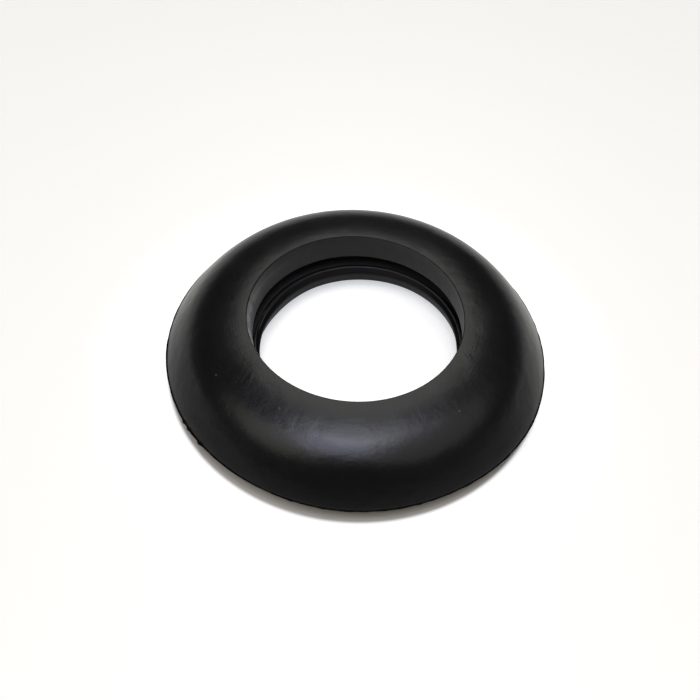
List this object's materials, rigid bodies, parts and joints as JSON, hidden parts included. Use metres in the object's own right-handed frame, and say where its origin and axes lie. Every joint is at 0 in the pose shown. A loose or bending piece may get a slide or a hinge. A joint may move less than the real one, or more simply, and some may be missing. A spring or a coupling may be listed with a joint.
{
  "type": "rubber filler neck sleeve",
  "caption": "Domed black rubber sleeve that seals a filler neck to a body panel: the lip and groove inside hold the neck, and the slot below the rim takes the panel's edge.",
  "frame": {"origin": "centre of the standing face, on the axis of the mouth", "axes": "+Z along the axis, out of the mouth; the sleeve is round, so X and Y are free"},
  "size_m": [0.105, 0.105, 0.0198],
  "materials": {
    "black_rubber": "satin, moulded"
  },
  "bodies": {
    "root": {"filler_neck_sleeve": "black_rubber"}
  },
  "joints": []
}
